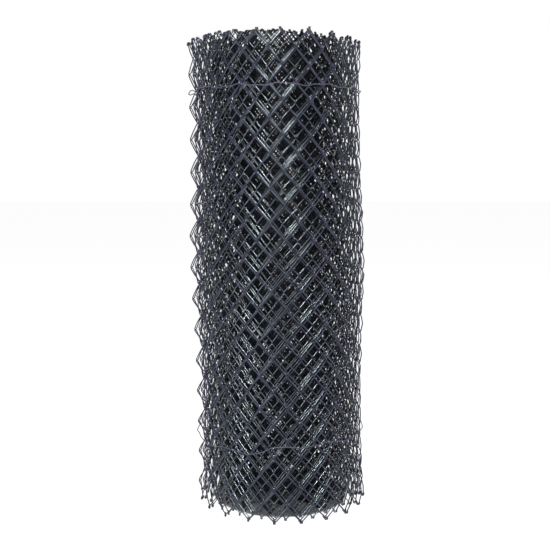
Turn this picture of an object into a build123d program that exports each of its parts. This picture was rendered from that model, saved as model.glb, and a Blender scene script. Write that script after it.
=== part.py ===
from build123d import *
import os

os.makedirs("parts", exist_ok=True)

# A roll of chain link fencing stood on end: lengths in millimetres, floor at Z = 0

# The fabric: round wire with its coating, woven three wires thick, two at its edges
fabric_width = 1219.0
wire_dia = 2.9
fabric_thickness = 3 * wire_dia
selvage_thickness = 2 * wire_dia

# The winding: the springy turns lie a little apart even under the tie wires
turns = 17
turn_gap = 0.85
bore_r = 61.0
waist_r = bore_r + turns * (fabric_thickness + turn_gap)

# How far the outer turns stand out past the waists, and how high the flared edges reach
foot_flare = 6.0
belly_swell = 13.5
head_flare = 5.0
flare_height = 70.0

# Grooves that part one turn from the next on both ends
groove_depth = 10.0

# The two tie wires, each drawn round a waist
tie_wire_r = 1.3
tie_wire_sides = 5
tie_clearance = 0.05
tie_ring_r = waist_r + tie_clearance + tie_wire_r
lower_tie_z = 194.0
upper_tie_drop = 136.0
upper_tie_z = fabric_width - upper_tie_drop

# The ends of a tie wire, tucked flat above and below its ring at the back
tail_azimuth = 50.0
tail_sweep = 9.0
tail_spacing = 1.6 * tie_wire_r
tail_lift = 0.35


def end_profile(end_r, end_z, inward):
    """Corners of a ringed end from the bore out: one ridge per turn, V grooves between.

    The first and last turns have flat crests, which bound the bore and carry the roll.
    """
    pitch = (end_r - selvage_thickness - bore_r) / (turns - 1)
    points = [(bore_r, end_z), (bore_r + selvage_thickness, end_z)]
    for turn in range(1, turns):
        ridge_r = bore_r + selvage_thickness / 2 + turn * pitch
        points.append((ridge_r - pitch / 2, end_z + inward * groove_depth))
        if turn < turns - 1:
            points.append((ridge_r, end_z))
    return points + [(end_r - selvage_thickness, end_z), (end_r, end_z)]


# The roll: one turned solid with its bore, drawn in at the waists and swollen between
foot = end_profile(waist_r + foot_flare, 0.0, 1)
head = end_profile(waist_r + head_flare, fabric_width, -1)
belly_r = waist_r + belly_swell
belly_rise = (upper_tie_z - lower_tie_z) / 4
flank = [
    (waist_r, flare_height),
    (waist_r, lower_tie_z),
    (belly_r, lower_tie_z + belly_rise),
    (belly_r, upper_tie_z - belly_rise),
    (waist_r, upper_tie_z),
    (waist_r, fabric_width - flare_height),
]

with BuildPart() as fabric_roll:
    with BuildSketch(Plane.XZ) as half_section:
        with BuildLine():
            Polyline(*foot, *flank, *reversed(head), close=True)
        make_face()
    revolve(axis=Axis.Z)
fabric_roll.part.label = "fabric_roll"
export_step(fabric_roll.part, "parts/fabric_roll.step")

# The ties: a ring of wire with its two ends laid along it
tail_plane = Plane.XZ.rotated((0, 0, tail_azimuth))

for name, tie_z in (("tie_wire_lower", lower_tie_z), ("tie_wire_upper", upper_tie_z)):
    with BuildPart() as tie_wire:
        with BuildSketch(Plane.XZ) as ring_section:
            with Locations((tie_ring_r, tie_z)):
                RegularPolygon(tie_wire_r, tie_wire_sides, rotation=180)
        revolve(axis=Axis.Z)
        with BuildSketch(tail_plane) as tail_sections:
            for side in (-1, 1):
                with Locations((tie_ring_r + tail_lift, tie_z + side * tail_spacing)):
                    RegularPolygon(tie_wire_r, tie_wire_sides, rotation=30)
        revolve(axis=Axis.Z, revolution_arc=tail_sweep)
    tie_wire.part.label = name
    export_step(tie_wire.part, f"parts/{name}.step")
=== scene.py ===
"""An upright roll of black vinyl-coated chain link fencing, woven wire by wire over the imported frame."""

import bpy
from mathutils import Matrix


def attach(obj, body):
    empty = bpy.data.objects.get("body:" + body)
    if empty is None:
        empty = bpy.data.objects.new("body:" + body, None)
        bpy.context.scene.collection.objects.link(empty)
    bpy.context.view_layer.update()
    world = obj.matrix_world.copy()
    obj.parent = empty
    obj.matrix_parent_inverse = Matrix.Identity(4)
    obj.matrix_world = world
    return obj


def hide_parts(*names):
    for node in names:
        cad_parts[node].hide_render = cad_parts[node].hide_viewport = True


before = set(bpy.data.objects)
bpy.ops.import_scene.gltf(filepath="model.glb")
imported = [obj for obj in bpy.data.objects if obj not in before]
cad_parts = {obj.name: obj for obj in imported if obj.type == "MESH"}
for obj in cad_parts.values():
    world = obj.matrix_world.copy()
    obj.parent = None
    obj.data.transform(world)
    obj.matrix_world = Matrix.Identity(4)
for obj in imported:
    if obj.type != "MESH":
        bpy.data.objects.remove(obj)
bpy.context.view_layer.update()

import logging
import math
from dataclasses import dataclass, field
from enum import Enum

import bpy
import numpy as np

log = logging.getLogger("fence_roll")
Array = np.ndarray
Socket = bpy.types.NodeSocket
Colour = tuple[float, float, float, float]
Place = tuple[float, float, float]
FULL_TURN = 2 * math.pi
TINY = 1e-18


# Shared shape tools


def unit(vectors: Array) -> Array:
    """Vectors divided by their lengths, along the last axis."""
    return vectors / np.maximum(np.linalg.norm(vectors, axis=-1, keepdims=True), TINY)


def dot(a: Array, b: Array) -> Array:
    """Dot product along the last axis, which stays as an axis of one."""
    return np.sum(a * b, axis=-1, keepdims=True)


def mix(a: Array, b: Array, share: Array) -> Array:
    """The straight mix of two values: a at share 0, b at share 1."""
    return a + (b - a) * share


def side_by_side(*values: Array | float) -> Array:
    """Arrays and numbers, broadcast together and laid side by side along a new last axis."""
    return np.stack(np.broadcast_arrays(*values), axis=-1)


def sweep_tubes(paths: Array, radius: float, sides: int) -> tuple[Array, Array, Array]:
    """Carries a round section along many paths at once.

    At station m the section is centre + reach * (cos(a) * e1 + sin(a) * e2), where reach is radius *
    (pi / sides) / sin(pi / sides), so that the section is as wide on average as the round wire. e1 and
    e2 stand square to the path. Each station's frame is turned back by the running sum of the angles
    by which it twists against its neighbour, so the sections follow the path without winding round it.

    Args:
        paths: Centre lines, shaped (wires, stations, 3).
        radius: Radius of the wire in metres.
        sides: Corners of the round section.

    Returns:
        Vertices (n, 3), quads (m, 4) and the end caps (2 * wires, sides).
    """
    wires, stations, _ = paths.shape
    along = np.empty_like(paths)
    along[:, 1:-1] = unit(unit(paths[:, 2:] - paths[:, 1:-1]) + unit(paths[:, 1:-1] - paths[:, :-2]))
    along[:, 0] = unit(paths[:, 1] - paths[:, 0])
    along[:, -1] = unit(paths[:, -1] - paths[:, -2])
    nearly_upright = 0.94
    helper = np.where(np.abs(along[..., 2:]) < nearly_upright, [0.0, 0.0, 1.0], [1.0, 0.0, 0.0])
    first = unit(np.cross(helper, along))
    second = np.cross(along, first)
    # The neighbour's first axis, carried over by two reflections, against this station's own axes
    step = paths[:, 1:] - paths[:, :-1]
    share = 2.0 / np.maximum(dot(step, step), TINY)
    carried = first[:, :-1] - share * dot(step, first[:, :-1]) * step
    turned = along[:, :-1] - share * dot(step, along[:, :-1]) * step
    gap = along[:, 1:] - turned
    share = 2.0 / np.maximum(dot(gap, gap), TINY)
    carried = carried - share * dot(gap, carried) * gap
    twist = np.arctan2(dot(carried, second[:, 1:]), dot(carried, first[:, 1:]))[..., 0]
    start = np.concatenate([np.zeros((wires, 1)), np.cumsum(twist, axis=1)], axis=1)
    angle = start[..., None] + np.arange(sides) * (FULL_TURN / sides)
    ring = np.cos(angle)[..., None] * first[:, :, None] + np.sin(angle)[..., None] * second[:, :, None]
    reach = radius * (math.pi / sides) / math.sin(math.pi / sides)
    vertices = (paths[:, :, None] + reach * ring).reshape(-1, 3)
    index = np.arange(wires * stations * sides).reshape(wires, stations, sides)
    beside = np.roll(index, -1, axis=2)
    quads = np.stack([index[:, :-1], beside[:, :-1], beside[:, 1:], index[:, 1:]], axis=-1)
    caps = np.concatenate([index[:, 0, ::-1], index[:, -1]], axis=0)
    return vertices, quads.reshape(-1, 4), caps


def smooth_noise(position: Array, waves: int, rng: np.random.Generator) -> Array:
    """A seeded sum of cosines of an angle, each a little weaker than the last.

    It adds cos(n * position + phase) / sqrt(n) for n from 3 up, and evens the sum out by
    1.6 / sqrt(waves).

    Args:
        position: Angles in radians.
        waves: How many cosines are added.
        rng: The seeded source of their phases.

    Returns:
        Values about one in size, shaped as position.
    """
    lowest = 3
    total = np.zeros_like(position)
    for harmonic in range(lowest, lowest + waves):
        total += np.cos(harmonic * position + rng.uniform(0, FULL_TURN)) / math.sqrt(harmonic)
    return total / math.sqrt(waves) * 1.6


def make_piece(name: str, vertices: Array, quads: Array, caps: Array) -> bpy.types.Object:
    """Puts whole arrays into one mesh object: smooth sides from the quads, flat ends from the caps.

    Args:
        name: The piece's name.
        vertices: Points in metres, shaped (n, 3).
        quads: Corner numbers of the sides, shaped (m, 4).
        caps: Corner numbers of the end faces, shaped (k, corners).

    Returns:
        The new object, linked to the scene and riding on the root body.
    """
    mesh = bpy.data.meshes.new(name)
    corners = np.concatenate([quads.ravel(), caps.ravel()]).astype(np.int32)
    sizes = np.concatenate([np.full(len(quads), 4), np.full(len(caps), caps.shape[1])])
    starts = np.concatenate([[0], np.cumsum(sizes)[:-1]]).astype(np.int32)
    mesh.vertices.add(len(vertices))
    mesh.vertices.foreach_set("co", vertices.astype(np.float32).ravel())
    mesh.loops.add(len(corners))
    mesh.loops.foreach_set("vertex_index", corners)
    mesh.polygons.add(len(sizes))
    mesh.polygons.foreach_set("loop_start", starts)
    mesh.polygons.foreach_set("use_smooth", sizes == 4)
    mesh.update(calc_edges=True)
    mesh.validate()
    piece = bpy.data.objects.new(name, mesh)
    bpy.context.scene.collection.objects.link(piece)
    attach(piece, "root")
    return piece


def store_values(piece: bpy.types.Object, name: str, values: Array) -> None:
    """Stores one number per vertex under a name that the finish reads.

    Args:
        piece: The mesh object.
        name: Attribute name.
        values: One value for each vertex.
    """
    attribute = piece.data.attributes.new(name, "FLOAT", "POINT")
    attribute.data.foreach_set("value", values.astype(np.float32).ravel())


# Finishes


class Nodes:
    """Wires the nodes of a material or a world."""

    def __init__(self, owner: bpy.types.Material | bpy.types.World, output: str) -> None:
        """Empties the owner's tree and gives it its output node.

        Args:
            owner: The new material or world.
            output: Blender's name for its output node.
        """
        owner.use_nodes = True
        self.owner = owner
        self.tree = owner.node_tree
        self.tree.nodes.clear()
        self.output = self.tree.nodes.new(output)

    def add(self, kind: str, settings: dict | None = None, **sockets: object) -> bpy.types.Node:
        """Adds a node.

        Args:
            kind: Blender's name for the node.
            settings: Properties of the node itself.
            sockets: Input values or the sockets to link, by input name with _ for a space, or by
                input number after _.

        Returns:
            The new node.
        """
        node = self.tree.nodes.new(kind)
        for key, value in (settings or {}).items():
            setattr(node, key, value)
        for key, value in sockets.items():
            socket = node.inputs[int(key[1:]) if key[1:].isdigit() else key.replace("_", " ")]
            if isinstance(value, Socket):
                self.tree.links.new(value, socket)
            else:
                socket.default_value = value
        return node

    def place(self) -> Socket:
        """Where a point lies on its own piece, in metres."""
        return self.add("ShaderNodeTexCoord").outputs["Object"]

    def stored(self, name: str) -> Socket:
        """The number that a piece stores per vertex under a name."""
        return self.add("ShaderNodeAttribute", {"attribute_name": name}).outputs["Fac"]

    def noise(self, where: Socket, scale: float, detail: float) -> Socket:
        """A noise value over a position, at a scale in waves per metre."""
        return self.add("ShaderNodeTexNoise", Vector=where, Scale=scale, Detail=detail).outputs["Fac"]

    def spread(self, value: Socket, low: float, high: float, to_low: float,
               to_high: float) -> Socket:
        """Maps a value from low..high to to_low..to_high and clamps it."""
        return self.add("ShaderNodeMapRange", Value=value, From_Min=low, From_Max=high, To_Min=to_low,
                        To_Max=to_high).outputs["Result"]

    def combine(self, operation: str, a: Socket, b: Socket) -> Socket:
        """Makes one value of two by an operation, such as MULTIPLY or MAXIMUM."""
        return self.add("ShaderNodeMath", {"operation": operation}, _0=a, _1=b).outputs[0]

    def blend(self, share: Socket, a: object, b: object) -> Socket:
        """Mixes two colours by a share."""
        return self.add("ShaderNodeMix", {"data_type": "RGBA"}, _0=share, _6=a, _7=b).outputs[2]

    def finish(self, shader: bpy.types.Node) -> bpy.types.Material | bpy.types.World:
        """Wires a shader to the output and hands the owner back."""
        self.tree.links.new(shader.outputs[0], self.output.inputs[0])
        return self.owner


@dataclass(frozen=True)
class VinylFinish:
    """Extruded vinyl over the wire: near black, a little blue, soft gloss, dusty at the bends.

    The body goes from colour to worn by a cloud over the roll added to each picket's own tone. Dust
    lies in specks all over, and by rub_amount where bends rub. glint tints the gloss, and the grain
    roughens it.
    """

    name: str
    colour: Colour
    worn: Colour
    dust: Colour = (0.16, 0.16, 0.155, 1.0)
    glint: Colour = (0.8, 0.98, 0.99, 1.0)
    index: float = 2.15
    roughness: float = 0.27
    rub_amount: float = 0.5
    speck_amount: float = 0.35
    grain_depth: float = 0.00005
    grain_strength: float = 0.15
    cloud_scale: float = 16.0
    grain_scale: float = 420.0
    speck_scale: float = 1500.0

    def build(self) -> bpy.types.Material:
        """Builds the material.

        Returns:
            The finished material.
        """
        nodes = Nodes(bpy.data.materials.new(self.name), "ShaderNodeOutputMaterial")
        place = nodes.place()
        grain = nodes.noise(place, self.grain_scale, 2.0)
        speck = nodes.noise(place, self.speck_scale, 1.0)
        lot = nodes.combine("ADD", nodes.noise(place, self.cloud_scale, 3.0), nodes.stored("tone"))
        body = nodes.blend(nodes.spread(lot, 0.55, 1.5, 0.0, 1.0), self.colour, self.worn)
        scuff = nodes.combine("MULTIPLY", nodes.stored("rub"),
                              nodes.spread(grain, 0.45, 0.7, 0.0, self.rub_amount))
        body = nodes.blend(scuff, body, self.dust)
        body = nodes.blend(nodes.spread(speck, 0.66, 0.8, 0.0, self.speck_amount), body, self.dust)
        rough = nodes.spread(grain, 0.3, 0.75, self.roughness - 0.03, self.roughness + 0.06)
        bump = nodes.add("ShaderNodeBump", Strength=self.grain_strength, Distance=self.grain_depth,
                         Height=grain)
        return nodes.finish(nodes.add("ShaderNodeBsdfPrincipled", Base_Color=body, Roughness=rough,
                                      IOR=self.index, Specular_Tint=self.glint, Normal=bump.outputs[0]))


@dataclass(frozen=True)
class ZincFinish:
    """The bare end of a cut wire: its galvanized steel core, dull and a little blotched."""

    name: str = "cut_zinc"
    light: Colour = (0.42, 0.43, 0.45, 1.0)
    dull: Colour = (0.2, 0.2, 0.21, 1.0)
    metal: float = 0.85
    patch_scale: float = 700.0

    def build(self) -> bpy.types.Material:
        """Builds the material.

        Returns:
            The finished material.
        """
        nodes = Nodes(bpy.data.materials.new(self.name), "ShaderNodeOutputMaterial")
        patch = nodes.noise(nodes.place(), self.patch_scale, 2.0)
        body = nodes.blend(nodes.spread(patch, 0.35, 0.65, 0.0, 1.0), self.dull, self.light)
        rough = nodes.spread(patch, 0.3, 0.7, 0.42, 0.6)
        return nodes.finish(nodes.add("ShaderNodeBsdfPrincipled", Base_Color=body, Metallic=self.metal,
                                      Roughness=rough))


@dataclass(frozen=True)
class FloorFinish:
    """The studio floor: matte, keeps the roll's shadow, and reads as white paper round the roll.

    What the camera, gloss and glass see gets a glow of lift on top of the matte colour. The glow
    fades out over the ramp at the edge of the disc under the roll, so the grey floor there is a painted
    shadow: it stays dark on top of the real shadow that falls there.
    """

    name: str = "white_floor"
    colour: Place = (0.33, 0.33, 0.33)
    lift: float = 0.97
    painted_shadow_radius: float = 0.184
    ramp: float = 0.008
    centre: Place = (0.0098, 0.0, 0.0)

    def build(self) -> bpy.types.Material:
        """Builds the material.

        Returns:
            The finished material.
        """
        nodes = Nodes(bpy.data.materials.new(self.name), "ShaderNodeOutputMaterial")
        place = nodes.place()
        shade = nodes.spread(nodes.noise(place, 2.0, 2.0), 0.3, 0.7, 0.98, 1.0)
        tint = nodes.add("ShaderNodeVectorMath", {"operation": "SCALE"}, _0=self.colour, Scale=shade)
        paper = nodes.add("ShaderNodeBsdfDiffuse", Color=tint.outputs[0])
        away = nodes.add("ShaderNodeVectorMath", {"operation": "DISTANCE"}, _0=place, _1=self.centre)
        # Painted shadow: no glow within the radius less the ramp, so the floor under the roll shows dark
        # through the mesh.
        inside = self.painted_shadow_radius - self.ramp
        lift = nodes.spread(away.outputs["Value"], inside, self.painted_shadow_radius, 0.0, self.lift)
        glow = nodes.add("ShaderNodeEmission", Strength=lift)
        both = nodes.add("ShaderNodeAddShader", _0=paper.outputs[0], _1=glow.outputs[0])
        ray = nodes.add("ShaderNodeLightPath").outputs
        seen = nodes.combine("MAXIMUM", ray["Is Camera Ray"], ray["Is Glossy Ray"])
        seen = nodes.combine("MAXIMUM", seen, ray["Is Transmission Ray"])
        return nodes.finish(nodes.add("ShaderNodeMixShader", _0=seen, _1=paper.outputs[0],
                                      _2=both.outputs[0]))


# The fabric


class Detail(Enum):
    """How finely a turn's wire is drawn: (sides, stations in a bend, stations along a strand)."""

    OUTER = (8, 4, 3)
    NEXT = (7, 3, 3)
    MIDDLE = (6, 3, 2)
    DEEP = (5, 3, 2)

    @classmethod
    def of_turn(cls, turn: int, last_turn: int) -> "Detail":
        """Picks the detail of a turn by how much of it shows.

        Args:
            turn: Number of the turn, 0 for the outermost.
            last_turn: Number of the turn round the bore.

        Returns:
            The detail.
        """
        if turn == 0:
            return cls.OUTER
        if turn <= 2:
            return cls.NEXT
        return cls.MIDDLE if turn <= 5 or turn >= last_turn - 1 else cls.DEEP


@dataclass(frozen=True)
class PicketRoute:
    """The stations of one picket in flat fabric, with one value per station in each array.

    across is 0 at the even column and 1 at the odd one. depth is the distance out from the middle
    plane. part runs from 0 at a level to 1 at the next, bow is the share of the strand's bow, and rub
    is 1 where wires rub on one another.
    """

    across: Array
    depth: Array
    height: Array
    level: Array
    part: Array
    bow: Array
    rub: Array


@dataclass
class WovenRoll:
    """The length of chain link fabric, wound from its free end at the back inwards.

    A column is a line of hooks up the fabric. Columns count inwards from the free end, to the left as
    the camera sees the front. A picket is the zigzag wire between one column and the next. Level 0 is
    the top edge and each level is half a diamond lower. Hooks sit on even levels in even columns and
    on odd levels in odd columns. Lengths are in metres and angles in radians, but slips round the
    roll are in diamonds, and the reaches of the fold and its dip in columns.
    """

    # The flat fabric
    width: float = 1.219
    levels: int = 29
    wire: float = 0.0029
    column_gap: float = 0.0344
    bend_drop: float = 0.0064
    tip_height: float = 1.75
    strand_end: float = 0.06

    # The spiral, which leans a little and twists near its foot
    turns: int = 17
    side_radius: float = 0.2126
    inner_radius: float = 0.0655
    front_angle: float = 0.0863
    columns_before_front: int = 18
    columns_to_fold: int = 10
    gauge_height: float = 0.35
    free_swell: float = 0.012
    lean: float = -0.016
    foot_twist: float = -0.017
    twist_height: float = 0.6
    upper_tie: float = 1.083
    lower_tie: float = 0.194

    # How the turns lie over one another: the outer five nest, by rank, and the deeper ones don't
    nested_ranks: tuple[int, ...] = (0, 1, 0, 2, 3)
    nested_slip: float = -0.01
    stray_turn: int = 2
    stray_slip: float = 0.45
    next_slip: float = 0.93
    slip_step: float = -0.083
    top_drop: float = 0.0077
    top_step: float = 0.0045
    middle_step: float = 0.0018
    foot_step: float = 0.001
    deep_top: float = 0.001
    deep_top_step: float = 0.001
    deep_foot: float = 0.0025

    # How far the outer turns stand out past the plain spiral
    foot_flare: float = 0.0117
    head_flare: float = 0.0096
    edge_reach: float = 0.047
    belly_swell: float = 0.0092
    belly_height: float = 0.66
    belly_reach: float = 0.19
    front_swell: float = 0.0162
    front_loss: float = 0.011
    front_edge: float = math.radians(90)
    front_fade: float = math.radians(45)
    fold_angle: float = math.radians(-82.5)
    fold_column: float = math.radians(9.3)
    fold_swell: float = 0.0133
    fold_loss: float = 0.0108
    fold_reach: float = 1.2
    dip_share: float = 0.25
    dip_reach: float = 2.0
    free_share: float = 1.03

    # Seeded unevenness, and the bow of strands that nothing holds down
    seed: int = 7
    round_uneven: float = 0.0007
    column_uneven: float = 0.0006
    hook_uneven: float = 0.0004
    loose_drift: float = 0.0006
    loose_hooks: float = 0.5
    loose_tips: float = 3.0
    top_uneven: float = 0.0025
    top_pace: float = 0.137
    foot_uneven: float = 0.0015
    foot_pace: float = 0.131
    bow_uneven: float = 0.25
    tight_bow: float = 0.0002
    free_bow: float = 0.005
    bow_turns: float = 0.45
    tie_reach: float = 0.045
    tie_hold: float = 0.75

    # Worked out for each column, once the roll is laid out
    columns: int = field(init=False)
    length: float = field(init=False)
    free_end: float = field(init=False)
    turned: Array = field(init=False)
    angles: Array = field(init=False)
    radii: Array = field(init=False)
    shares: Array = field(init=False)
    round_noise: Array = field(init=False)
    column_noise: Array = field(init=False)
    hook_slip: Array = field(init=False)
    top_slip: Array = field(init=False)
    middle_slip: Array = field(init=False)
    foot_slip: Array = field(init=False)
    bow_noise: Array = field(init=False)
    tone: Array = field(init=False)

    def __post_init__(self) -> None:
        """Lays the columns out and draws their unevenness."""
        self.lay_columns()
        self.draw_unevenness()

    def share_at(self, radius: Array) -> Array:
        """How much of the outer turns' swell a plain radius takes: 0 at the bore, 1 at the side."""
        share = (radius - self.inner_radius) / (self.side_radius - self.inner_radius)
        return np.clip(share, 0, self.free_share)

    def lay_columns(self) -> None:
        """Lays the columns out along the spiral.

        The plain spiral is side_radius - pitch * turned / (2 * pi), with turned counted from the front.
        Length along it is the running sum of radius * step. The nested turns hold nearly whole numbers
        of diamonds, so their hooks lie over one another at the front and along the hard fold. The
        stray turn among them lies about half a diamond off. Deeper turns each slip by a twelfth of a
        diamond, so their wires fill the gaps.
        """
        to_front = self.columns_before_front * self.column_gap
        self.free_end = -to_front / (self.side_radius + self.free_swell)
        pitch = (self.side_radius - self.inner_radius) / (self.turns + self.free_end / FULL_TURN)
        samples = 20001
        turned = np.linspace(self.free_end - 0.1, self.turns * FULL_TURN + 1.0, samples)
        base = self.side_radius - pitch * turned / FULL_TURN
        height = np.full_like(turned, self.gauge_height)
        radius = base + self.plan_swell(self.front_angle - turned, height, self.share_at(base))
        length = np.concatenate([[0], np.cumsum((radius[1:] + radius[:-1]) / 2 * np.diff(turned))])
        length -= np.interp(0.0, turned, length)
        # Whole and part diamonds from front to front
        fronts = np.arange(self.turns + 2)
        marks = np.interp(fronts * FULL_TURN, turned, length)
        natural = np.diff(marks) / (2 * self.column_gap)
        nested = np.array(self.nested_ranks)
        slip = (self.next_slip + self.slip_step * (fronts - len(nested))) % 1
        slip[: len(nested)] = self.nested_slip * nested
        slip[self.stray_turn] = self.stray_slip
        count = np.round(natural - np.diff(slip)) + np.diff(slip)
        number = self.columns_before_front + np.concatenate([[0], 2 * np.cumsum(count)])
        # The free end, the fronts and the folds of the nested turns pin column numbers to lengths
        folds = fronts[: len(nested)] * FULL_TURN + self.front_angle - self.fold_angle
        fold_marks = np.interp(folds, turned, length)
        fold_number = number[: len(nested)] + self.columns_to_fold
        marks = np.sort(np.concatenate([[marks[0] - to_front], marks, fold_marks]))
        number = np.sort(np.concatenate([[0], number, fold_number]))
        last = np.interp(self.turns * FULL_TURN + self.free_end, turned, length)
        self.columns = int(np.interp(last, marks, number)) + 1
        self.length = last - marks[0]
        from_front = np.interp(np.interp(np.arange(self.columns), number, marks), length, turned)
        self.angles = self.front_angle - from_front
        self.radii = self.side_radius - pitch * from_front / FULL_TURN
        self.shares = self.share_at(self.radii)
        self.turned = from_front - from_front[0]

    def draw_unevenness(self) -> None:
        """Draws the seeded unevenness and works out how high each column sits.

        Turns below the first get looser over three turns. There the columns drift along the roll, and
        their hooks and tips stand less evenly.
        """
        rng = np.random.default_rng(self.seed)
        self.round_noise = smooth_noise(self.angles, 5, rng) * self.round_uneven * self.shares
        self.column_noise = rng.normal(0, self.column_uneven, self.columns)
        loose = np.clip((self.turned / FULL_TURN - 1) / 3, 0, 1)
        drift = self.hook_uneven + self.loose_drift * loose
        self.angles = self.angles + rng.normal(0, 1, self.columns) * drift / self.radii
        self.hook_slip = rng.normal(0, 1, (self.columns, self.levels + 1, 2)) * self.hook_uneven
        self.hook_slip[..., 0] *= (1 + self.loose_hooks * loose)[:, None]
        self.hook_slip[:, 0, 0] *= 1 + self.loose_tips * loose
        self.top_slip = self.rank_slip(-self.top_drop, self.top_step, self.deep_top, self.deep_top_step)
        self.top_slip += self.top_uneven * loose * smooth_noise(self.turned * self.top_pace, 6, rng)
        self.middle_slip = self.rank_slip(0.0, self.middle_step, 0.0, 0.0)
        self.foot_slip = self.rank_slip(0.0, self.foot_step, self.deep_foot, 0.0)
        foot_noise = smooth_noise(self.turned * self.foot_pace, 6, rng)
        self.foot_slip += self.foot_uneven * loose * (1 + foot_noise)
        self.bow_noise = rng.normal(1, self.bow_uneven, (self.columns, self.levels))
        self.tone = rng.uniform(0, 1, self.columns)

    def rank_slip(self, start: float, step: float, deep: float, deep_step: float) -> Array:
        """How much higher each column sits than it would in even turns.

        At the front of a nested turn it is start + step * rank, and at the front of the n-th turn
        below the nested ones deep + deep_step * n. It runs straight from front to front.

        Args:
            start: Slip of the nested turns of rank 0.
            step: What each rank adds.
            deep: Slip of the first turn below the nested ones.
            deep_step: What each deeper turn adds.

        Returns:
            One slip for each column, in metres.
        """
        ranks = np.array(self.nested_ranks)
        below = np.arange(self.turns + 2 - len(ranks))
        at_fronts = np.concatenate([start + step * ranks, deep + deep_step * below])
        turn = self.turned / FULL_TURN + self.free_end / FULL_TURN
        return np.interp(turn, np.arange(len(at_fronts)), at_fronts)

    def plan_swell(self, angle: Array, height: Array, share: Array) -> Array:
        """How far the fabric stands out past the plain spiral.

        share^2 * (swell + front * w) + share^3 * fold * crease, where w falls smoothly from 1 within 45
        degrees of the front to 0 at 90. With foot = exp(-z / reach) and head = exp(-(width - z) / reach),
        swell is foot_flare * foot + head_flare * head + a bell of belly_swell, and front and fold are
        their full values less a loss * (foot + head). The crease is cos(pi * c) * exp(-(c / 1.2)^2)
        - 0.25 * exp(-(c / 2)^2), with c the distance in columns from the hard fold at the left edge.

        Args:
            angle: Angle from the front, to the right.
            height: Height above the floor.
            share: 1 on the outer turn down to 0 at the bore.

        Returns:
            Distances in metres.
        """
        height = np.clip(height, 0, self.width)
        foot = np.exp(-height / self.edge_reach)
        head = np.exp((height - self.width) / self.edge_reach)
        belly = np.exp(-(((height - self.belly_height) / self.belly_reach) ** 2))
        swell = self.foot_flare * foot + self.head_flare * head + self.belly_swell * belly
        front = self.front_swell - self.front_loss * (foot + head)
        fold = self.fold_swell - self.fold_loss * (foot + head)
        away = np.abs((angle + math.pi) % FULL_TURN - math.pi)
        fade = np.clip((self.front_edge - away) / self.front_fade, 0, 1)
        fade = fade * fade * (3 - 2 * fade)
        beside = ((angle - self.fold_angle + math.pi) % FULL_TURN - math.pi) / self.fold_column
        dip = self.dip_share * np.exp(-((beside / self.dip_reach) ** 2))
        crease = np.cos(math.pi * beside) * np.exp(-((beside / self.fold_reach) ** 2)) - dip
        return share**2 * (swell + front * fade) + share**3 * fold * crease

    def radius_at(self, column: Array, height: Array) -> Array:
        """Radius of the fabric's middle plane: the spiral, its swell and the seeded unevenness.

        Args:
            column: Column numbers, shaped to match height.
            height: Heights in metres.

        Returns:
            Radii in metres.
        """
        swell = self.plan_swell(self.angles[column], height, self.shares[column])
        return self.radii[column] + swell + self.round_noise[column] + self.column_noise[column]

    def place(self, right: Array, left: Array, across: Array, depth: Array, height: Array) -> Array:
        """Turns flat fabric places into points in the roll.

        A picket stays flat between its two columns, so a point is the straight mix of the columns'
        plan places by across, moved out by depth square to the line between them. The whole roll
        leans to the side by lean times the height, and its foot is twisted by the square of how far
        it is below twist_height.

        Args:
            right: Number of the column on the right of each point.
            left: Number of the column on its left.
            across: 0 at the right column, 1 at the left one.
            depth: Distance out from the middle plane.
            height: Height above the floor.

        Returns:
            Points shaped as the inputs, with 3 coordinates.
        """
        twist = self.foot_twist * np.clip(1 - height / self.twist_height, 0, 1) ** 2
        ends = []
        for column in (right, left):
            angle = self.angles[column] + twist
            radius = self.radius_at(column, height)
            ends.append(side_by_side(radius * np.sin(angle), -radius * np.cos(angle)))
        a, b = ends
        chord = unit(b - a)
        outward = side_by_side(-chord[..., 1], chord[..., 0])
        outward *= np.sign(dot(outward, a))
        plan = mix(a, b, across[..., None]) + outward * depth[..., None]
        return side_by_side(plan[..., 0] + self.shear_at(height), plan[..., 1], height)

    def shear_at(self, height: Array) -> Array:
        """How far the lean moves a height to the right."""
        return self.lean * (height - self.width / 2)

    def hook_template(self) -> Array:
        """The knuckled end of a picket, from its cut end to the crossing at the tip.

        The wire crosses its neighbour, bends over it and comes down behind it.

        Returns:
            Rows of distance beyond the column, depth on the strand's own side and height above the
            crossing. They are written in wire diameters and given in metres.
        """
        return self.wire * np.array([
            (0.8, -1.0, -1.8), (0.85, -1.2, -0.9), (0.85, -1.2, 0.2), (0.78, -0.8, 0.9),
            (0.65, -0.1, 1.2), (0.45, 0.45, 0.8), (0.0, 0.5, 0.0),
        ])

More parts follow.
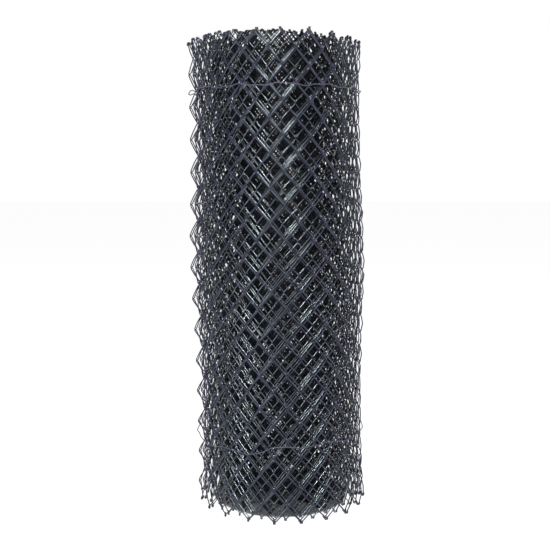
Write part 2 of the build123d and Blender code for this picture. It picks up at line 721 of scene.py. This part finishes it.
    def picket_route(self, detail: Detail) -> PicketRoute:
        """One picket's route in flat fabric, from the cut end at the top to the one at the bottom.

        A strand runs straight from bend to bend, with bow 4 * h * (1 - h). Its first and last
        stations lie close to its ends, so its shading stays straight between them. A bend is a half
        circle of one wire diameter round the neighbour's wire, dropping as it turns: depth = side *
        wire * cos(turn), across = 1 + (sin(turn) - 0.5) * wire / gap. Every second level runs back.

        Args:
            detail: How many stations a bend and a strand get.

        Returns:
            The route.
        """
        _, in_bend, in_strand = detail.value
        wire, gap, step = self.wire, self.column_gap, self.width / self.levels
        tip = self.tip_height * wire
        level = np.arange(self.levels)[:, None]
        side = np.where(level % 2 == 0, 1.0, -1.0)
        first, last = level == 0, level == self.levels - 1
        h = np.linspace(self.strand_end, 1 - self.strand_end, in_strand)[None]
        half_bend = 0.5 * wire / gap
        reach = mix(np.where(first, 0.0, half_bend), np.where(last, 1.0, 1.0 - half_bend), h)
        depth = side * mix(np.where(first, 0.5 * wire, wire), np.where(last, 0.5 * wire, wire), h)
        upper = self.width - level * step - np.where(first, tip, self.bend_drop / 2)
        lower = self.width - (level + 1) * step + np.where(last, tip, self.bend_drop / 2)
        strands = side_by_side(reach, depth, mix(upper, lower, h), level, h, 4 * h * (1 - h), 0.0)
        turn = np.linspace(0, math.pi, in_bend)[None]
        height = self.width - (level + 1) * step + self.bend_drop * (0.5 - turn / math.pi)
        bends = side_by_side(1.0 + (np.sin(turn) - 0.5) * wire / gap, side * wire * np.cos(turn), height,
                             level + 1, 0.0, 0.0, 1.0)
        rows = np.concatenate([strands, bends], axis=1)
        rows[1::2, :, 0] = 1 - rows[1::2, :, 0]
        zigzag = rows.reshape(-1, rows.shape[-1])[:-in_bend]
        beyond, depth, up = self.hook_template().T
        head = side_by_side(-beyond / gap, depth, self.width - tip + up, 0, 0.0, 0.0, 1.0)
        foot = side_by_side(1 + beyond / gap, depth, tip - up, self.levels, 0.0, 0.0, 1.0)
        across, depth, height, level, part, bow, rub = np.concatenate([head, zigzag, foot[::-1]]).T
        return PicketRoute(across, depth, height, level.astype(int), part, bow, rub)

    def picket_paths(self, pickets: Array, detail: Detail) -> tuple[Array, Array]:
        """Centre lines of a run of pickets in the roll.

        With s the share of the full height, a station is raised by top_slip * s + foot_slip * (1 - s)
        + middle_slip * 4 * s * (1 - s), and by its hook's own slip.

        Args:
            pickets: Numbers of the pickets' right-hand columns.
            detail: How finely they are drawn.

        Returns:
            Points (pickets, stations, 3) and the rub value of each station.
        """
        route = self.picket_route(detail)
        right = pickets[:, None]
        left = right + 1
        even_right = right % 2 == 0
        even = np.where(even_right, right, left)
        odd = np.where(even_right, left, right)
        side = np.where(even_right, 1.0, -1.0)
        level = route.level[None, :]
        after = np.minimum(level + 1, self.levels)
        here = np.where(level % 2 == 0, even, odd)
        there = np.where(after % 2 == 0, even, odd)
        part = route.part[None, :, None]
        slip = self.hook_slip[here, level] * (1 - part) + self.hook_slip[there, after] * part
        height = route.height[None, :] + slip[..., 0]
        share = height / self.width
        height = (height + self.top_slip[here] * share + self.foot_slip[here] * (1 - share)
                  + self.middle_slip[here] * 4 * share * (1 - share))
        across = np.where(even_right, route.across[None, :], 1 - route.across[None, :])
        strand = np.minimum(level, self.levels - 1)
        bow = route.bow[None, :] * self.bow_at(right, height) * self.bow_noise[right, strand]
        depth = side * route.depth[None, :] + bow + slip[..., 1]
        right, left = np.broadcast_to(right, height.shape), np.broadcast_to(left, height.shape)
        return self.place(right, left, across, depth, height), route.rub

    def bow_at(self, picket: Array, height: Array) -> Array:
        """How far a strand springs out between its hooks: most on the last turn, least at the ties.

        (tight_bow + free_bow * exp(-turn / bow_turns)) * (1 - tie_hold * bells of tie_reach at the ties).

        Args:
            picket: Picket numbers.
            height: Heights, broadcast against them.

        Returns:
            Bow in metres.
        """
        turn = self.turned[picket] / FULL_TURN
        bow = self.tight_bow + self.free_bow * np.exp(-turn / self.bow_turns)
        ties = (self.upper_tie, self.lower_tie)
        held = sum(np.exp(-(((height - tie) / self.tie_reach) ** 2)) for tie in ties)
        return bow * (1 - self.tie_hold * np.clip(held, 0, 1))

    def build_turns(self, scuffed: bpy.types.Material, glossy: bpy.types.Material,
                    painted_shade: bpy.types.Material) -> list[bpy.types.Object]:
        """Builds one piece for each turn of the roll.

        Args:
            scuffed: The finish of the outermost turn, dulled by handling.
            glossy: The finish of the nested turns below it.
            painted_shade: The finish of the turns deep in the roll: the same vinyl, with painted shade
                darkening its body to near black.

        Returns:
            The pieces, outermost first.
        """
        turn_of = (self.turned[:-1] / FULL_TURN).astype(int)
        last_turn = int(turn_of.max())
        pieces = []
        for turn in range(last_turn + 1):
            pickets = np.nonzero(turn_of == turn)[0]
            detail = Detail.of_turn(turn, last_turn)
            sides = detail.value[0]
            paths, rub = self.picket_paths(pickets, detail)
            piece = make_piece(f"woven_turn_{turn + 1:02d}", *sweep_tubes(paths, self.wire / 2, sides))
            store_values(piece, "tone", np.repeat(self.tone[pickets], paths.shape[1] * sides))
            store_values(piece, "rub", np.tile(np.repeat(rub, sides), len(pickets)))
            # Turns below the nested ones take the painted-shade finish, whose near-black body stands in
            # for the shade deep in the roll.
            finish = painted_shade if turn >= len(self.nested_ranks) else glossy if turn else scuffed
            piece.data.materials.append(finish)
            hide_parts("fabric_roll")
            pieces.append(piece)
        return pieces

    def build_cut_ends(self, zinc: bpy.types.Material) -> bpy.types.Object:
        """Builds the steel discs that show in the cut ends of every picket.

        A disc is centre + 0.4 * wire * (cos(a) * e1 + sin(a) * e2), square to the wire's end. Its
        face stands a hair proud of the wire, and its back lies inside.

        Args:
            zinc: The finish of the bare core.

        Returns:
            The one piece that holds all the discs.
        """
        sides, radius, proud, sunk = 8, 0.4 * self.wire, 0.00006, 0.0002
        paths, _ = self.picket_paths(np.arange(self.columns - 1), Detail.DEEP)
        ends = np.concatenate([paths[:, :2], paths[:, :-3:-1]], axis=0)
        out = unit(ends[:, 0] - ends[:, 1])
        first = unit(np.cross(out, np.broadcast_to([1.0, 0.0, 0.0], out.shape)))
        second = np.cross(out, first)
        angle = np.arange(sides) * (FULL_TURN / sides)
        cos, sin = np.cos(angle)[None, :, None], np.sin(angle)[None, :, None]
        ring = cos * first[:, None] + sin * second[:, None]
        rim = ends[:, :1] + ring * radius
        vertices = np.concatenate([rim + out[:, None] * proud, rim - out[:, None] * sunk], axis=1)
        turn = np.arange(sides)
        face = np.arange(len(ends))[:, None] * 2 * sides + turn
        face_next = face - turn + (turn + 1) % sides
        quads = np.stack([face + sides, face_next + sides, face_next, face], axis=-1)
        caps = np.concatenate([face, face[:, ::-1] + sides], axis=0)
        piece = make_piece("cut_ends", vertices.reshape(-1, 3), quads.reshape(-1, 4), caps)
        piece.data.materials.append(zinc)
        return piece


# The ties


@dataclass
class TieWire:
    """One thin wire drawn round the roll, its ends twisted and folded flat at the back."""

    node: str
    roll: WovenRoll
    height: float
    rise: float
    phase: float
    wave: float = 0.0026
    cells: int = 14
    overtone: float = 0.45
    overtone_cells: int = 33
    lift: float = 0.0045
    radius: float = 0.0012
    sides: int = 8
    clearance: float = 0.0005
    climb_angle: float = math.radians(-8)
    climb_reach: float = math.radians(7)
    bridge: float = math.radians(12)
    bridge_bell: float = math.radians(5)
    sharpness: float = 800.0
    ring_stations: int = 361
    tail_angle: float = math.radians(140)
    tail_length: float = 0.036
    tail_rise: float = 0.0046
    tail_turns: int = 4
    tail_stations: int = 64

    def height_at(self, angle: Array) -> Array:
        """Height of the wire, which climbs a little past the middle and rides up and down the cells.

        height + rise / 2 * tanh((angle - climb_angle) / climb_reach) * cos(angle / 2)
        + wave * (sin(cells * angle + phase) + overtone * sin(overtone_cells * angle + 2 * phase)).

        Args:
            angle: Angles from the front, from -pi to pi.

        Returns:
            Heights in metres.
        """
        climb = 0.5 * self.rise * np.tanh((angle - self.climb_angle) / self.climb_reach)
        fade = np.clip(np.cos(angle / 2), 0, 1)
        ripple = np.sin(self.overtone_cells * angle + 2 * self.phase)
        wave = np.sin(self.cells * angle + self.phase) + self.overtone * ripple
        return self.height + climb * fade + self.wave * wave

    def radius_at(self, angle: Array, height: Array) -> Array:
        """Radius at which the wire would lie just over the outer strands at one place.

        The fabric's radius, mixed between the columns on both sides, plus one and a half fabric wires,
        the tie's own radius, a clearance, and lift * cos(angle) over the front.

        Args:
            angle: Angles from the front.
            height: Heights in metres, shaped as the angles.

        Returns:
            Radii in metres.
        """
        columns = np.arange(int(np.sum(self.roll.turned < FULL_TURN)) + 1)[::-1]
        known = self.roll.angles[columns]
        wrapped = known[-1] - (known[-1] - angle) % FULL_TURN
        k = np.clip(np.searchsorted(known, wrapped) - 1, 0, len(columns) - 2)
        share = (wrapped - known[k]) / (known[k + 1] - known[k])
        before = self.roll.radius_at(columns[k], height)
        fabric = mix(before, self.roll.radius_at(columns[k + 1], height), share)
        front = np.clip(np.cos(angle), 0, 1)
        return fabric + 1.5 * self.roll.wire + self.radius + self.clearance + self.lift * front

    def taut_radius(self, angle: Array, height: Array) -> Array:
        """Radius of the drawn wire, which bridges the dips between the crests beside it.

        log(sum(w * exp(k * r))) / k over places up to the bridge off, where w is a bell that adds up to
        1 and k the sharpness: a smooth stand-in for the greatest radius nearby.

        Args:
            angle: Angles from the front.
            height: Heights in metres, shaped as the angles.

        Returns:
            Radii in metres.
        """
        beside = np.linspace(-self.bridge, self.bridge, 13)
        weight = np.exp(-((beside / self.bridge_bell) ** 2))
        weight /= weight.sum()
        past = self.radius_at(angle[..., None] + beside, height[..., None]) - self.roll.side_radius
        crest = np.log(np.sum(weight * np.exp(self.sharpness * past), axis=-1)) / self.sharpness
        return crest + self.roll.side_radius

    def points(self, radius: Array, angle: Array, height: Array) -> Array:
        """Points at a radius and an angle from the front, moved by the roll's lean."""
        sideways = radius * np.sin(angle) + self.roll.shear_at(height)
        return side_by_side(sideways, -radius * np.cos(angle), height)

    def ring(self) -> Array:
        """The ring's centre line, once round from the tail and back to it.

        Returns:
            Points shaped (1, stations, 3).
        """
        angle = self.tail_angle + np.linspace(0, FULL_TURN, self.ring_stations)
        height = self.height_at((angle + math.pi) % FULL_TURN - math.pi)
        return self.points(self.taut_radius(angle, height), angle, height)[None]

    def tail(self) -> Array:
        """The two ends twisted round each other and laid along the ring, just above it.

        Each end is a helix: centre + 1.05 * wire radius * (cos(a) outwards, sin(a) up), half a turn
        apart, with tail_turns in the tail's length.

        Returns:
            Points shaped (2, stations, 3).
        """
        reach = np.linspace(0, 1, self.tail_stations)[None]
        start = float(self.height_at(np.array([self.tail_angle - FULL_TURN]))[0])
        angle = self.tail_angle + reach * self.tail_length / self.roll.side_radius
        height = start + self.tail_rise * np.clip(reach * 6, 0, 1)
        phase = reach * self.tail_turns * FULL_TURN + np.array([[0.0], [math.pi]])
        swing = 1.05 * self.radius
        radius = self.taut_radius(angle, height) + self.radius / 2 + swing * np.cos(phase)
        return self.points(radius, angle, height + swing * np.sin(phase))

    def build(self, vinyl: bpy.types.Material) -> bpy.types.Object:
        """Builds the tie as one piece.

        Args:
            vinyl: The finish of the tie's coating.

        Returns:
            The piece, standing for the tie's CAD node.
        """
        ring, ring_quads, ring_caps = sweep_tubes(self.ring(), self.radius, self.sides)
        tail, tail_quads, tail_caps = sweep_tubes(self.tail(), self.radius, self.sides)
        piece = make_piece(f"{self.node}_drawn", np.concatenate([ring, tail]),
                           np.concatenate([ring_quads, tail_quads + len(ring)]),
                           np.concatenate([ring_caps, tail_caps + len(ring)]))
        piece.data.materials.append(vinyl)
        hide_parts(self.node)
        return piece


# The studio


@dataclass
class Studio:
    """White floor and backdrop, soft lights from the front, and the camera of the photograph."""

    image_width: float = 550.0
    focal_pixels: float = 848.0
    sensor: float = 36.0
    camera_place: Place = (-0.0068, -2.2698, 0.8609)
    camera_pitch: float = 0.1127
    floor_half: float = 30.0
    aim: Place = (0.0, 0.0, 0.65)
    light_colour: Place = (0.98, 0.97, 1.0)

    def build_floor(self, finish: bpy.types.Material) -> bpy.types.Object:
        """Lays the floor at height zero.

        Args:
            finish: The floor's material.

        Returns:
            The floor.
        """
        half = self.floor_half
        corners = [(-half, -half, 0), (half, -half, 0), (half, half, 0), (-half, half, 0)]
        mesh = bpy.data.meshes.new("floor")
        mesh.from_pydata(corners, [], [(0, 1, 2, 3)])
        floor = bpy.data.objects.new("floor", mesh)
        bpy.context.scene.collection.objects.link(floor)
        floor.data.materials.append(finish)
        return floor

    def build_world(self, strength: float) -> None:
        """Surrounds the scene with white that lights it weakly and reads as a white backdrop.

        The camera and glass see it white. So does gloss, but only towards the back of the studio,
        where the backdrop hangs: it grows in as the direction's Y goes from 0.2 to 0.5.

        Args:
            strength: How strongly it lights matte surfaces.
        """
        nodes = Nodes(bpy.data.worlds.new("studio"), "ShaderNodeOutputWorld")
        ray = nodes.add("ShaderNodeLightPath").outputs
        way = nodes.add("ShaderNodeTexCoord").outputs["Generated"]
        way = nodes.add("ShaderNodeSeparateXYZ", _0=way).outputs
        to_back = nodes.spread(way["Y"], 0.2, 0.5, 0.0, 1.0)
        gloss = nodes.combine("MULTIPLY", to_back, ray["Is Glossy Ray"])
        seen = nodes.combine("MAXIMUM", ray["Is Camera Ray"], gloss)
        seen = nodes.combine("MAXIMUM", seen, ray["Is Transmission Ray"])
        backdrop = nodes.add("ShaderNodeBackground", Color=(1.0, 1.0, 1.0, 1.0),
                             Strength=nodes.spread(seen, 0.0, 1.0, strength, 1.0))
        bpy.context.scene.world = nodes.finish(backdrop)

    def add_softbox(self, name: str, place: Place, size: tuple[float, float], watts: float) -> None:
        """Hangs a rectangular soft light that faces the middle of the roll.

        Args:
            name: The light's name.
            place: Where it hangs, in metres.
            size: Width and height.
            watts: Its power.
        """
        data = bpy.data.lights.new(name, "AREA")
        data.shape = "RECTANGLE"
        data.size, data.size_y = size
        data.energy = watts
        data.color = self.light_colour
        light = bpy.data.objects.new(name, data)
        way = np.array(self.aim) - np.array(place)
        slope = math.atan2(way[2], math.hypot(way[0], way[1]))
        light.location = place
        light.rotation_euler = (math.pi / 2 + slope, 0, math.atan2(-way[0], way[1]))
        bpy.context.scene.collection.objects.link(light)

    def build_camera(self) -> None:
        """Sets up the photograph's camera: a little above the roll's middle, looking slightly down."""
        data = bpy.data.cameras.new("camera")
        data.sensor_width = self.sensor
        data.lens = self.focal_pixels / self.image_width * self.sensor
        camera = bpy.data.objects.new("camera", data)
        camera.location = self.camera_place
        camera.rotation_euler = (math.pi / 2 - self.camera_pitch, 0, 0)
        bpy.context.scene.collection.objects.link(camera)
        bpy.context.scene.camera = camera


def main() -> None:
    """Builds the roll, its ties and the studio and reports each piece."""
    logging.basicConfig(level=logging.INFO, format="%(name)s: %(message)s")
    scuffed = VinylFinish("scuffed_vinyl", (0.01, 0.008, 0.028, 1.0), (0.048, 0.043, 0.094, 1.0),
                          index=1.5, roughness=0.38, rub_amount=0.3).build()
    glossy = VinylFinish("glossy_vinyl", (0.007, 0.004, 0.015, 1.0), (0.02, 0.016, 0.035, 1.0),
                         roughness=0.22, grain_depth=0.00001, rub_amount=0.1).build()
    # Painted shade: the deep turns are the same vinyl as the nested ones, with a near-black body in place
    # of the shade inside the roll.
    painted_shade = VinylFinish("painted_shade_vinyl", (0.003, 0.003, 0.007, 1.0), (0.006, 0.006, 0.012, 1.0),
                         index=1.3, roughness=0.35, rub_amount=0.05).build()
    tie_vinyl = VinylFinish("tie_vinyl", (0.1, 0.1, 0.15, 1.0), (0.13, 0.13, 0.185, 1.0),
                            index=1.5, roughness=0.4, rub_amount=0.0).build()

    roll = WovenRoll()
    log.info("roll: %.2f m of fabric, %d columns", roll.length, roll.columns)
    pieces = roll.build_turns(scuffed, glossy, painted_shade)
    pieces.append(roll.build_cut_ends(ZincFinish().build()))
    upper_tie = TieWire("tie_wire_upper", roll, roll.upper_tie, rise=0.002, phase=0.4)
    lower_tie = TieWire("tie_wire_lower", roll, roll.lower_tie, rise=0.02, phase=2.17, wave=0.0032,
                        cells=11, overtone=0.2, lift=0.007)
    pieces += [upper_tie.build(tie_vinyl), lower_tie.build(tie_vinyl)]

    studio = Studio()
    pieces.append(studio.build_floor(FloorFinish().build()))
    studio.build_world(strength=0.02)
    studio.add_softbox("key", place=(0.0, -5.4, 2.75), size=(0.7, 1.1), watts=345.0)
    studio.add_softbox("side", place=(-3.4, -4.6, 1.0), size=(1.5, 1.5), watts=60.0)
    studio.build_camera()
    bpy.context.scene.view_settings.view_transform = "Standard"

    for piece in pieces:
        triangles = len(piece.data.loops) - 2 * len(piece.data.polygons)
        log.info("%s: %d triangles", piece.name, triangles)


if __name__ == "__main__":
    main()
